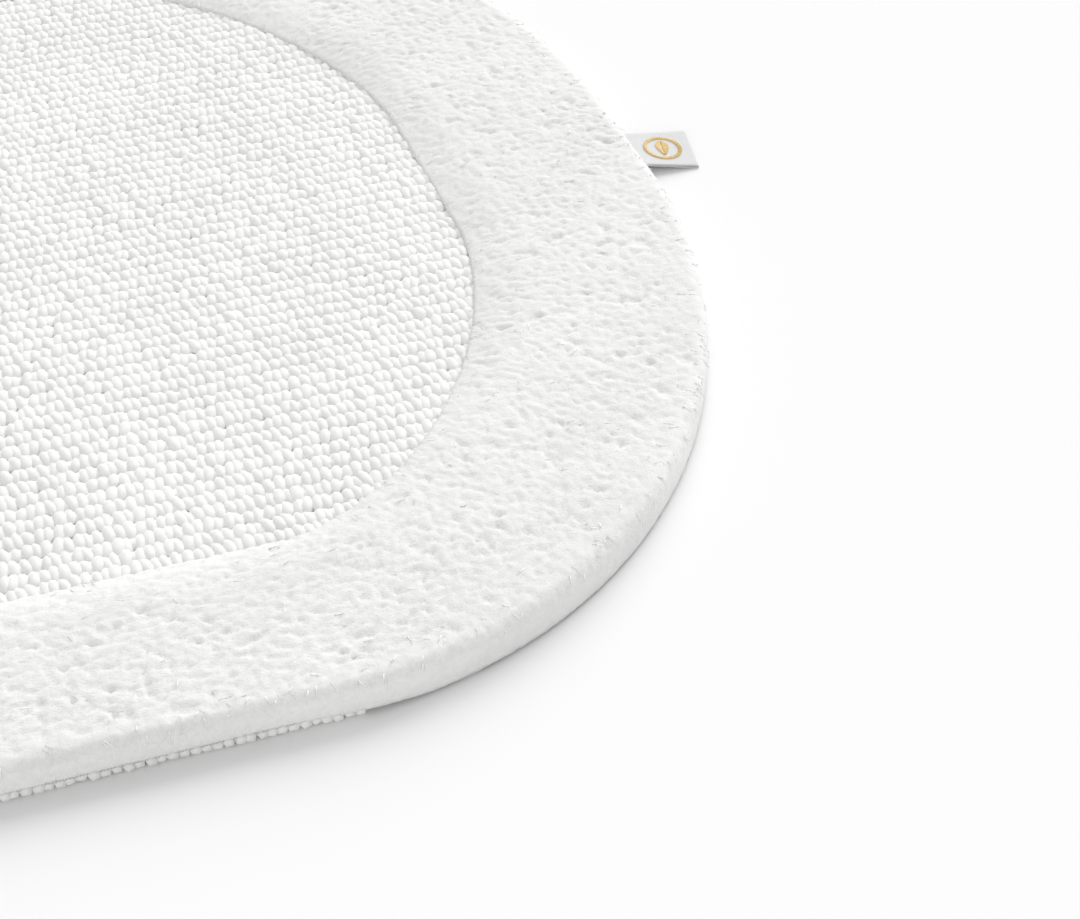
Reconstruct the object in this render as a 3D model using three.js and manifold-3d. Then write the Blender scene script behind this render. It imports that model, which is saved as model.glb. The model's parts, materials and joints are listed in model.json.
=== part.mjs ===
// A tufted cotton bath mat with rounded corners, lying flat: a looped field sunk inside a raised
// cut-pile border, both tufted through one base cloth whose back stitches lie on the floor, with a
// folded ribbon label sewn into the middle of one short end. Millimetres, +X along the length, +Z up.
import * as THREE from "three";
import { mergeVertices } from "three/addons/utils/BufferGeometryUtils.js";
import Module from "manifold-3d";

// The mat as seen from above
const matLength = 1000;
const matWidth = 600;
const cornerAlongSide = 213; // how far a rounded corner runs along the long side
const cornerAlongEnd = 273; // and along the short end
const cornerPower = 2; // 2 is an ellipse
const borderAtEnd = 90; // border width where it crosses the mat's long axis
const borderAtSide = 84; // and where it crosses the short axis
const fieldCornerAlongSide = 120;
const fieldCornerAlongEnd = 171;
const fieldCornerPower = 1.66; // under 2 gives the pointed oval that a border leaves inside it
const straightLeast = 5; // shortest straight left between two corners

// The layers, from the floor up
const stitchHeight = 3;
const clothThickness = 0.8;
const loopHeight = 5.6; // field loops above the base cloth
const pileHeight = 10.6; // border pile above the base cloth
const shoulder = 4; // rounding of the border's two upper rims
const fit = 0.3; // gap kept between pieces that touch
const clothInset = 1; // the cloth and its back stitches stay this far inside the pile

// The tufted rows, which run along the mat
const rowPitch = 7.2;
const rowGroove = 2; // depth of the groove between two rows
const stitchSide = 1.4; // how far the rounded side of a back stitch row reaches in
const fieldBandCount = 20; // neighbouring rows share a node, three at a time
const stitchBandCount = 28;

// The folded ribbon label
const labelWidth = 26;
const labelFlapLength = 26;
const labelTailLength = 9;
const labelOffset = -2; // sideways from the middle of the end
const plyThickness = 0.5;
const plyGap = 0.3; // between the two free plies
const hingeStandOff = 2; // the free part bends this far outside the pile
const labelDroop = THREE.MathUtils.degToRad(8.5);
const seamWidth = 0.8;
const seamHeight = 0.5;
const seamEndMargin = 2; // ribbon left beyond each end of the seam

// The embroidered motif on the label
const motifDiameter = 17.5;
const motifRingWidth = 1.6;
const motifThickness = 0.4;
const motifCentre = 13.5; // from the bend
const leafLength = 11;
const leafWidth = 5.5;

// How finely curves are cut into flats
const cornerSteps = 14;
const bevelSteps = 3;
const crestSteps = 4;
const curveSteps = 20;
const mergeTolerance = 1e-3;

const clothBottom = stitchHeight + fit;
const clothTop = clothBottom + clothThickness;
const pileBottom = clothTop + fit;
const labelThickness = 2 * plyThickness + plyGap;
const tailThickness = 2 * plyThickness;

const matOutline = {
  halfX: matLength / 2,
  halfY: matWidth / 2,
  cornerX: cornerAlongSide,
  cornerY: cornerAlongEnd,
  power: cornerPower,
};
const fieldOutline = {
  halfX: matLength / 2 - borderAtEnd,
  halfY: matWidth / 2 - borderAtSide,
  cornerX: fieldCornerAlongSide,
  cornerY: fieldCornerAlongEnd,
  power: fieldCornerPower,
};

const cotton = (color, roughness) => new THREE.MeshStandardMaterial({ color, roughness, metalness: 0 });
const clothCotton = cotton("#dedcd6", 0.95);
const stitchCotton = cotton("#e6e6e4", 0.95);
const loopCotton = cotton("#f0f0f0", 0.95);
const pileCotton = cotton("#f3f3f2", 0.98);
const ribbonSatin = cotton("#ededf0", 0.7);
const seamThread = cotton("#e9e9e9", 0.6);
const goldThread = cotton("#d9ae5c", 0.45);

const wasm = await Module();
wasm.setup();

// A closed geometry as a solid that can be joined and cut
function solidOf(geometry) {
  geometry.deleteAttribute("normal");
  geometry.deleteAttribute("uv");
  const merged = mergeVertices(geometry, mergeTolerance);
  const triVerts = Uint32Array.from(merged.index.array);
  const vertProperties = merged.attributes.position.array;
  return new wasm.Manifold(new wasm.Mesh({ numProp: 3, vertProperties, triVerts }));
}

// A solid back as a geometry
function geometryOf(solid) {
  const mesh = solid.getMesh();
  const geometry = new THREE.BufferGeometry();
  geometry.setAttribute("position", new THREE.BufferAttribute(mesh.vertProperties, 3));
  geometry.setIndex(new THREE.BufferAttribute(mesh.triVerts, 1));
  geometry.computeVertexNormals();
  return geometry;
}

// A flat shape made thick, from a given height up
function slab(shape, bottom, thickness) {
  const geometry = new THREE.ExtrudeGeometry(shape, { depth: thickness, bevelEnabled: false });
  return geometry.translate(0, 0, bottom);
}

// A box between two corners
function block(low, high) {
  const size = high.clone().sub(low);
  const middle = high.clone().add(low).multiplyScalar(0.5);
  return new THREE.BoxGeometry(size.x, size.y, size.z).translate(middle.x, middle.y, middle.z);
}

// A profile drawn across the mat (Y, Z), run along the whole length in X
function runAlongMat(profile) {
  const geometry = new THREE.ExtrudeGeometry(profile, { depth: matLength, bevelEnabled: false });
  const across = new THREE.Vector3(0, 1, 0);
  const up = new THREE.Vector3(0, 0, 1);
  const along = new THREE.Vector3(1, 0, 0);
  geometry.applyMatrix4(new THREE.Matrix4().makeBasis(across, up, along));
  return geometry.translate(-matLength / 2, 0, 0);
}

// The radii and centre of an outline's corner in the first quarter, with the outline drawn in by inset
function cornerOf(outline, inset) {
  const radiusX = Math.min(outline.cornerX, outline.halfX - straightLeast) - inset;
  const radiusY = Math.min(outline.cornerY, outline.halfY - straightLeast) - inset;
  const centreX = outline.halfX - inset - radiusX;
  const centreY = outline.halfY - inset - radiusY;
  return { radiusX, radiusY, centreX, centreY };
}

// Points of a closed outline, anticlockwise: four corners with straight runs between them
function outlinePoints(outline, inset = 0) {
  const { radiusX, radiusY, centreX, centreY } = cornerOf(outline, inset);
  const points = [];
  for (let quarter = 0; quarter < 4; quarter++) {
    const signX = quarter === 0 || quarter === 3 ? 1 : -1;
    const signY = quarter < 2 ? 1 : -1;
    for (let step = 0; step <= cornerSteps; step++) {
      const angle = ((quarter + step / cornerSteps) * Math.PI) / 2;
      const shareX = Math.abs(Math.cos(angle)) ** (2 / outline.power);
      const shareY = Math.abs(Math.sin(angle)) ** (2 / outline.power);
      points.push(new THREE.Vector2(signX * (centreX + radiusX * shareX), signY * (centreY + radiusY * shareY)));
    }
  }
  return points;
}

// Half the outline's length along X, at a distance y from the mat's long axis
function halfChord(outline, inset, y) {
  const { radiusX, radiusY, centreX, centreY } = cornerOf(outline, inset);
  const share = THREE.MathUtils.clamp((Math.abs(y) - centreY) / radiusY, 0, 1);
  return centreX + radiusX * (1 - share ** outline.power) ** (1 / outline.power);
}

// The rows that belong to one band, as row boundaries across the mat
function bandRows(rowCount, bandCount, band) {
  const first = Math.round((rowCount * band) / bandCount);
  const end = Math.round((rowCount * (band + 1)) / bandCount);
  const edges = [];
  for (let row = first; row <= end; row++) {
    edges.push((row - rowCount / 2) * rowPitch);
  }
  edges[0] += fit / 2;
  edges[edges.length - 1] -= fit / 2;
  return edges;
}

// The looped field: rounded rows side by side, trimmed to the field's outline
const fieldRowCount = Math.floor((2 * fieldOutline.halfY) / rowPitch);

function loopBand(band) {
  const edges = bandRows(fieldRowCount, fieldBandCount, band);
  const crown = loopHeight - rowGroove;
  const profile = new THREE.Shape();
  profile.moveTo(edges[0], 0);
  profile.lineTo(edges[edges.length - 1], 0);
  for (let row = edges.length - 1; row > 0; row--) {
    const width = edges[row] - edges[row - 1];
    for (let step = 0; step <= crestSteps; step++) {
      if (step === crestSteps && row > 1) continue; // the next row starts at this point
      const share = step / crestSteps;
      profile.lineTo(edges[row] - width * share, crown + rowGroove * Math.sin(Math.PI * share));
    }
  }
  const rows = solidOf(runAlongMat(profile).translate(0, 0, pileBottom));
  const ground = new THREE.Shape(outlinePoints(fieldOutline, fit));
  const field = solidOf(slab(ground, clothBottom, pileHeight));
  return geometryOf(rows.intersect(field));
}

// The back stitches: rows with a flat underside, each stopping square where it meets the cloth's edge
const stitchRowCount = 2 * Math.floor((matOutline.halfY - clothInset) / rowPitch - 0.5) + 1;

function stitchBand(band) {
  const edges = bandRows(stitchRowCount, stitchBandCount, band);
  const last = edges.length - 1;
  const profile = new THREE.Shape();
  profile.moveTo(edges[0], rowGroove);
  const plan = [];
  for (let row = 0; row < last; row++) {
    profile.lineTo(edges[row] + stitchSide, 0);
    profile.lineTo(edges[row + 1] - stitchSide, 0);
    profile.lineTo(edges[row + 1], rowGroove);
    const outer = Math.max(Math.abs(edges[row]), Math.abs(edges[row + 1]));
    const reach = halfChord(matOutline, clothInset, outer);
    if (row === 0 || Math.abs(plan[plan.length - 1].x - reach) > mergeTolerance) {
      plan.push(new THREE.Vector2(reach, edges[row]));
    } else {
      plan.pop();
    }
    plan.push(new THREE.Vector2(reach, edges[row + 1]));
  }
  profile.lineTo(edges[last], stitchHeight);
  profile.lineTo(edges[0], stitchHeight);
  const mirrored = plan.map((point) => new THREE.Vector2(-point.x, point.y)).reverse();
  const rows = solidOf(runAlongMat(profile));
  const stepped = solidOf(slab(new THREE.Shape([...plan, ...mirrored]), -fit, stitchHeight + 2 * fit));
  return geometryOf(rows.intersect(stepped));
}

function baseCloth() {
  const shape = new THREE.Shape(outlinePoints(matOutline, clothInset));
  return slab(shape, clothBottom, clothThickness);
}

// The cut-pile border: a ring with rounded rims, hollowed where the label's tail is sewn to the cloth
function borderPile() {
  const shape = new THREE.Shape(outlinePoints(matOutline));
  shape.holes.push(new THREE.Path(outlinePoints(fieldOutline).reverse()));
  const bevel = { bevelSize: shoulder, bevelThickness: shoulder, bevelOffset: -shoulder, bevelSegments: bevelSteps };
  const ring = new THREE.ExtrudeGeometry(shape, { depth: pileHeight - shoulder, bevelEnabled: true, ...bevel });
  ring.translate(0, 0, pileBottom);
  const low = new THREE.Vector3(-matLength, -matWidth, pileBottom);
  const high = new THREE.Vector3(matLength, matWidth, pileBottom + 2 * pileHeight);
  const above = solidOf(block(low, high));
  const tailEnd = matOutline.halfX - labelTailLength - fit;
  const halfPocket = labelWidth / 2 + fit;
  const pocketTop = clothTop + fit + tailThickness + fit + seamHeight + fit;
  const pocketLow = new THREE.Vector3(tailEnd, labelOffset - halfPocket, clothBottom);
  const pocketHigh = new THREE.Vector3(matLength, labelOffset + halfPocket, pocketTop);
  return geometryOf(solidOf(ring).intersect(above).subtract(solidOf(block(pocketLow, pocketHigh))));
}

// The label's sewn tail: both plies pressed together on the cloth, under the pile
function labelTail() {
  return new THREE.BoxGeometry(labelTailLength, labelWidth, tailThickness);
}

// One run of sewing thread holds the tail down
function labelSeam() {
  return new THREE.BoxGeometry(seamWidth, labelWidth - 2 * seamEndMargin, seamHeight);
}

// The free ribbon: two plies from the bend to the fold at the tip, open towards the mat
function labelFlap() {
  const half = labelThickness / 2;
  const inner = plyGap / 2;
  const foldCentre = labelFlapLength - half;
  const profile = new THREE.Shape();
  profile.moveTo(0, half);
  profile.lineTo(0, inner);
  profile.lineTo(foldCentre, inner);
  profile.absarc(foldCentre, 0, inner, Math.PI / 2, -Math.PI / 2, true);
  profile.lineTo(0, -inner);
  profile.lineTo(0, -half);
  profile.lineTo(foldCentre, -half);
  profile.absarc(foldCentre, 0, half, -Math.PI / 2, Math.PI / 2, false);
  const settings = { depth: labelWidth, bevelEnabled: false, curveSegments: crestSteps };
  const geometry = new THREE.ExtrudeGeometry(profile, settings).translate(0, 0, -labelWidth / 2);
  return geometry.rotateX(Math.PI / 2);
}

function motifRing() {
  const shape = new THREE.Shape();
  shape.absarc(0, 0, motifDiameter / 2, 0, 2 * Math.PI, false);
  const hole = new THREE.Path();
  hole.absarc(0, 0, motifDiameter / 2 - motifRingWidth, 0, 2 * Math.PI, true);
  shape.holes.push(hole);
  const settings = { depth: motifThickness, bevelEnabled: false, curveSegments: curveSteps };
  return new THREE.ExtrudeGeometry(shape, settings);
}

// A plain leaf, pointed at both ends
function motifLeaf() {
  const shape = new THREE.Shape();
  shape.moveTo(0, -leafLength / 2);
  shape.quadraticCurveTo(leafWidth, 0, 0, leafLength / 2);
  shape.quadraticCurveTo(-leafWidth, 0, 0, -leafLength / 2);
  const settings = { depth: motifThickness, bevelEnabled: false, curveSegments: crestSteps };
  return new THREE.ExtrudeGeometry(shape, settings);
}

function piece(name, geometry, material, x = 0, y = 0, z = 0) {
  const mesh = new THREE.Mesh(geometry, material);
  mesh.name = name;
  mesh.position.set(x, y, z);
  return mesh;
}

const numbered = (name, index) => name + "_" + String(index + 1).padStart(2, "0");

const mat = new THREE.Group();
mat.name = "bath_mat";
for (let band = 0; band < stitchBandCount; band++) {
  mat.add(piece(numbered("back_stitches", band), stitchBand(band), stitchCotton));
}
mat.add(piece("base_cloth", baseCloth(), clothCotton));
for (let band = 0; band < fieldBandCount; band++) {
  mat.add(piece(numbered("field_loops", band), loopBand(band), loopCotton));
}
mat.add(piece("border_cut_pile", borderPile(), pileCotton));

const tailMiddle = clothTop + fit + tailThickness / 2;
const seamMiddle = tailMiddle + tailThickness / 2 + fit + seamHeight / 2;
const tailCentre = matOutline.halfX - labelTailLength / 2;
mat.add(piece("label_tail", labelTail(), ribbonSatin, tailCentre, labelOffset, tailMiddle));
mat.add(piece("label_seam", labelSeam(), seamThread, tailCentre, labelOffset, seamMiddle));

// The free part of the label bends about its sewn end, and droops a little towards the floor
const label = new THREE.Group();
label.name = "label";
label.position.set(matOutline.halfX + hingeStandOff, labelOffset, tailMiddle);
label.rotation.y = labelDroop;
const motifHeight = labelThickness / 2 + fit;
label.add(piece("label_flap", labelFlap(), ribbonSatin));
label.add(piece("motif_ring", motifRing(), goldThread, motifCentre, 0, motifHeight));
label.add(piece("motif_leaf", motifLeaf(), goldThread, motifCentre, 0, motifHeight));
mat.add(label);

export default mat;
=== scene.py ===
import json
import math

import bpy
import numpy as np
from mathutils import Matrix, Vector


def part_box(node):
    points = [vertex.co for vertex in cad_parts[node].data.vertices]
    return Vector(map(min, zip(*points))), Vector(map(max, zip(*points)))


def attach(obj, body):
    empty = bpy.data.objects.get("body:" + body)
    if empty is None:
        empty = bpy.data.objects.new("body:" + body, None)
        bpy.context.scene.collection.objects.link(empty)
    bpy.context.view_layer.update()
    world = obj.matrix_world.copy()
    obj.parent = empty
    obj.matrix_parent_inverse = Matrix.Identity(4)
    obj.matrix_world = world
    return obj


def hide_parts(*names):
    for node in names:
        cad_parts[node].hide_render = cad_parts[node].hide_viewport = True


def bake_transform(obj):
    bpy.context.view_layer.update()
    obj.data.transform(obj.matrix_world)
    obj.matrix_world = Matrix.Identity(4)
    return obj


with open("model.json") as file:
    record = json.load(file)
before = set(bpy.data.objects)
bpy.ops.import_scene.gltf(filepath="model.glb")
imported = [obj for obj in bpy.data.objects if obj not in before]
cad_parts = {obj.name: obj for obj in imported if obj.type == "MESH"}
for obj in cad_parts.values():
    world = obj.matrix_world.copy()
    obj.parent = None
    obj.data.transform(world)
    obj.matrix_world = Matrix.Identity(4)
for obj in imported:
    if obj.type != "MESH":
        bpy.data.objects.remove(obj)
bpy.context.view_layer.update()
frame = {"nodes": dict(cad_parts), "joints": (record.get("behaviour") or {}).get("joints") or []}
MM = 0.001


# ---- Floor, light and camera -------------------------------------------------------------------
# The mat lies on a plain pale floor in an even white room. A broad soft sun stands behind it and a
# weaker, broader one in front, so that the pile is bright on top and its near side turns grey.
def place(tree, kind, values=None, **settings):
    """Adds one node. A value is either a plain number or colour, or the socket that feeds it."""
    node = tree.nodes.new(kind)
    for name, value in settings.items():
        setattr(node, name, value)
    for name, value in (values or {}).items():
        if isinstance(value, bpy.types.NodeSocket):
            tree.links.new(value, node.inputs[name])
        else:
            node.inputs[name].default_value = value
    return node


def maths(tree, operation, *values):
    """One step of arithmetic on numbers."""
    return place(tree, "ShaderNodeMath", dict(enumerate(values)), operation=operation).outputs[0]


def vector_maths(tree, operation, a, b):
    """One step of arithmetic on vectors. To scale, b is the number to scale by."""
    values = {0: a, "Scale" if operation == "SCALE" else 1: b}
    return place(tree, "ShaderNodeVectorMath", values, operation=operation).outputs[0]


def noise(tree, where, scale, detail):
    values = {"Vector": where, "Scale": scale, "Detail": detail}
    return place(tree, "ShaderNodeTexNoise", values).outputs


def new_object(name, mesh):
    made = bpy.data.objects.new(name, mesh)
    bpy.context.scene.collection.objects.link(made)
    return made


def unit_vector(heading, height):
    """A direction of length one from its heading, clockwise from +Y, and its height above the floor."""
    level = math.cos(height)
    return Vector((math.sin(heading) * level, math.cos(heading) * level, math.sin(height)))


floor_half = 6.0
floor_white = (0.90, 0.90, 0.90, 1)
floor_mesh = bpy.data.meshes.new("floor")
floor_corners = [(-1, -1), (1, -1), (1, 1), (-1, 1)]
floor_points = [(x * floor_half, y * floor_half, 0) for x, y in floor_corners]
floor_mesh.from_pydata(floor_points, [], [(0, 1, 2, 3)])
floor = new_object("floor", floor_mesh)
floor_paint = bpy.data.materials.new("Pale floor")
floor_paint.use_nodes = True
floor_surface = floor_paint.node_tree.nodes["Principled BSDF"]
floor_surface.inputs["Base Color"].default_value = floor_white
floor_surface.inputs["Roughness"].default_value = 1.0
floor_surface.inputs["Specular IOR Level"].default_value = 0.0
floor_mesh.materials.append(floor_paint)

room_light = 0.545
seen_white = 0.985
white = (1, 1, 1, 1)
world = bpy.data.worlds.new("White room")
world.use_nodes = True
walls = world.node_tree
walls.nodes.clear()
lit = place(walls, "ShaderNodeBackground", {"Color": white, "Strength": room_light}).outputs[0]
seen = place(walls, "ShaderNodeBackground", {"Color": white, "Strength": seen_white}).outputs[0]
is_seen = place(walls, "ShaderNodeLightPath").outputs["Is Camera Ray"]
room = place(walls, "ShaderNodeMixShader", {0: is_seen, 1: lit, 2: seen})
place(walls, "ShaderNodeOutputWorld", {"Surface": room.outputs[0]})
bpy.context.scene.world = world

sun = bpy.data.lights.new("sun", "SUN")
sun.energy = 2.80
sun.angle = math.radians(48)
sun_object = new_object("sun", sun)
sun_from = unit_vector(math.radians(40), math.radians(30))
sun_object.rotation_euler = sun_from.to_track_quat("Z", "Y").to_euler()

fill = bpy.data.lights.new("fill", "SUN")
fill.energy = 1.00
fill.angle = math.radians(70)
fill_object = new_object("fill", fill)
fill_from = unit_vector(math.radians(210), math.radians(16))
fill_object.rotation_euler = fill_from.to_track_quat("Z", "Y").to_euler()

camera = bpy.data.cameras.new("camera")
camera.sensor_width = 36
camera.lens = 83.3
camera_object = new_object("camera", camera)
camera_distance = 0.9202
camera_target = Vector((0.3940, -0.1906, 0))
camera_back = unit_vector(math.radians(199.6), math.radians(38))
camera_object.location = camera_target + camera_back * camera_distance
camera_object.rotation_euler = camera_back.to_track_quat("Z", "Y").to_euler()
camera.clip_start = 0.05
bpy.context.scene.camera = camera_object
bpy.context.scene.view_settings.view_transform = "Standard"


# ---- Base cloth --------------------------------------------------------------------------------
# One piece of plain woven cotton canvas, cut to the mat's outline, which every yarn passes through.
# Only its cut edge shows, as a thin line between the pile and the back stitches.
cloth_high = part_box("base_cloth")[1]
border_low, border_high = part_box("border_cut_pile")
straight_least = 5 * MM
mat_outline = {"half": (border_high.x, border_high.y), "corner": (213 * MM, 273 * MM), "power": 2.0}
cloth_inset = border_high.x - cloth_high.x
cloth_pitch = 1.1 * MM


def corner_of(outline, inset=0.0):
    """Radii and centre of the outline's rounded corner in the first quarter."""
    pairs = zip(outline["corner"], outline["half"])
    radius = [min(corner, half - straight_least) - inset for corner, half in pairs]
    centre = [h - inset - r for h, r in zip(outline["half"], radius)]
    return radius, centre


def half_chord(outline, inset, y):
    """Half the outline's length along X, at a distance y from the long axis."""
    radius, centre = corner_of(outline, inset)
    share = min(max((abs(y) - centre[1]) / radius[1], 0.0), 1.0)
    return centre[0] + radius[0] * (1 - share ** outline["power"]) ** (1 / outline["power"])


def outline_area(outline, inset):
    steps = 2000  # rows to add up
    half_width = outline["half"][1] - inset
    rows = [(i + 0.5) / steps * half_width for i in range(steps)]
    return 4 * sum(half_chord(outline, inset, y) for y in rows) * half_width / steps


def shader_group(name, inputs, outputs):
    """An empty shader group with its sockets made."""
    group = bpy.data.node_groups.new(name, "ShaderNodeTree")
    for label, value in inputs.items():
        socket = group.interface.new_socket(label, in_out="INPUT", socket_type="NodeSocketFloat")
        socket.default_value = value
    for label, kind in outputs.items():
        group.interface.new_socket(label, in_out="OUTPUT", socket_type=kind)
    return group, group.nodes.new("NodeGroupInput"), group.nodes.new("NodeGroupOutput")


def cotton_fibre_group():
    """Fine cotton fibre: a soft grain at the size of single fibres over a slower change between strands."""
    sizes = {"Fibre Scale": 2600.0, "Strand Scale": 420.0, "Patch Scale": 22.0}
    outputs = {"Height": "NodeSocketFloat", "Tone": "NodeSocketFloat"}
    group, given, out = shader_group("Cotton fibre", sizes, outputs)
    where = place(group, "ShaderNodeTexCoord").outputs["Object"]
    fibre = noise(group, where, given.outputs["Fibre Scale"], 3.0)
    strand = noise(group, where, given.outputs["Strand Scale"], 2.0)
    patch = noise(group, where, given.outputs["Patch Scale"], 2.0)
    height = maths(group, "ADD", fibre["Fac"], strand["Fac"])
    half = maths(group, "MULTIPLY", height, 0.5)
    tone = maths(group, "ADD", patch["Fac"], strand["Fac"])
    half_tone = maths(group, "MULTIPLY", tone, 0.5)
    group.links.new(half, out.inputs["Height"])
    group.links.new(half_tone, out.inputs["Tone"])
    return group


cotton_fibre = cotton_fibre_group()


def cotton_material(name, dark, light, bump, sheen=0.25, extra_height=None, soft=0.0):
    """Matte cotton between two near-whites, with fibre in its bump. extra_height adds a weave of its own,
    soft lets light spread through the yarn."""
    material = bpy.data.materials.new(name)
    material.use_nodes = True
    tree = material.node_tree
    surface = tree.nodes["Principled BSDF"]
    fibre = place(tree, "ShaderNodeGroup", node_tree=cotton_fibre)
    spread = place(
        tree, "ShaderNodeMapRange", {"Value": fibre.outputs["Tone"], "From Min": 0.35, "From Max": 0.65}
    )
    tint = place(
        tree, "ShaderNodeMix", {"Factor": spread.outputs[0], "A": dark, "B": light}, data_type="RGBA"
    )
    tree.links.new(tint.outputs["Result"], surface.inputs["Base Color"])
    height = fibre.outputs["Height"]
    if extra_height is not None:
        height = maths(tree, "ADD", height, extra_height(tree))
    bumped = place(tree, "ShaderNodeBump", {"Height": height, "Distance": bump, "Strength": 1.0})
    tree.links.new(bumped.outputs[0], surface.inputs["Normal"])
    surface.inputs["Roughness"].default_value = 0.95
    surface.inputs["Specular IOR Level"].default_value = 0.15
    surface.inputs["Sheen Weight"].default_value = sheen
    surface.inputs["Sheen Roughness"].default_value = 0.6
    surface.inputs["Subsurface Weight"].default_value = soft
    surface.inputs["Subsurface Radius"].default_value = (1.0, 1.0, 1.0)
    surface.inputs["Subsurface Scale"].default_value = 2.5 * MM
    return material


def plain_weave(tree):
    """Over-and-under canvas threads, as two crossed waves."""
    where = place(tree, "ShaderNodeTexCoord").outputs["Object"]
    turns = 2 * math.pi / cloth_pitch
    parts = place(tree, "ShaderNodeSeparateXYZ", {0: where}).outputs
    waves = []
    for axis in ("X", "Y"):
        angle = maths(tree, "MULTIPLY", parts[axis], turns)
        waves.append(maths(tree, "SINE", angle))
    return maths(tree, "MULTIPLY", waves[0], waves[1])


canvas = cotton_material("Canvas", (0.62, 0.61, 0.58, 1), (0.72, 0.71, 0.68, 1), 0.2 * MM, 0.1, plain_weave)
base_cloth = frame["nodes"]["base_cloth"]
base_cloth.data.materials.clear()
base_cloth.data.materials.append(canvas)
stitch_nodes = sorted(n for n in frame["nodes"] if n.startswith("back_stitches"))
outline_area(mat_outline, cloth_inset)


# ---- Back stitches -----------------------------------------------------------------------------
# The yarn of each tufted row runs along the underside in short fat stitches, one for each tuft above,
# and lies on the floor. Each row stops square where the cloth's edge curves past it.
row_pitch = 7.2 * MM
tuft_spacing = 3.6 * MM


def new_tree(name, inputs):
    """An empty geometry tree that takes and gives a geometry, with named inputs of its own."""
    tree = bpy.data.node_groups.new(name, "GeometryNodeTree")
    tree.interface.new_socket("Geometry", in_out="INPUT", socket_type="NodeSocketGeometry")
    for label, kind in inputs.items():
        tree.interface.new_socket(label, in_out="INPUT", socket_type="NodeSocket" + kind)
    tree.interface.new_socket("Geometry", in_out="OUTPUT", socket_type="NodeSocketGeometry")
    return tree, tree.nodes.new("NodeGroupInput"), tree.nodes.new("NodeGroupOutput")


def grown(name, host_mesh, tree, values):
    """The tree run on a host mesh with these values, as a plain mesh object with no modifier left."""
    host = new_object(name + "_host", host_mesh)
    modifier = host.modifiers.new("grow", "NODES")
    modifier.node_group = tree
    sockets = {s.name: s.identifier for s in tree.interface.items_tree if s.in_out == "INPUT"}
    for label, value in values.items():
        modifier[sockets[label]] = value
    depsgraph = bpy.context.evaluated_depsgraph_get()
    mesh = bpy.data.meshes.new_from_object(host.evaluated_get(depsgraph))
    bpy.data.objects.remove(host)
    bpy.data.meshes.remove(host_mesh)
    mesh.name = name
    mesh.materials.clear()
    mesh.materials.append(values["Material"])
    mesh.polygons.foreach_set("material_index", [0] * len(mesh.polygons))
    return new_object(name, mesh)


def shifted(tree, geometry, offset):
    return place(tree, "GeometryNodeSetPosition", {"Geometry": geometry, "Offset": offset}).outputs[0]


def stored(tree, name, kind="FLOAT_VECTOR"):
    """What the mesh keeps at each point under this name."""
    return place(tree, "GeometryNodeInputNamedAttribute", {"Name": name}, data_type=kind).outputs[0]


def give_out(tree, out, geometry, material):
    """Ends a tree with its geometry smooth and painted."""
    smooth = place(tree, "GeometryNodeSetShadeSmooth", {"Geometry": geometry}).outputs[0]
    values = {"Geometry": smooth, "Material": material}
    painted = place(tree, "GeometryNodeSetMaterial", values).outputs[0]
    tree.links.new(painted, out.inputs[0])
    return tree


def random_vector(tree, low, high, seed):
    values = {0: low, 1: high, "Seed": seed}
    return place(tree, "FunctionNodeRandomValue", values, data_type="FLOAT_VECTOR").outputs[0]


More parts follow.
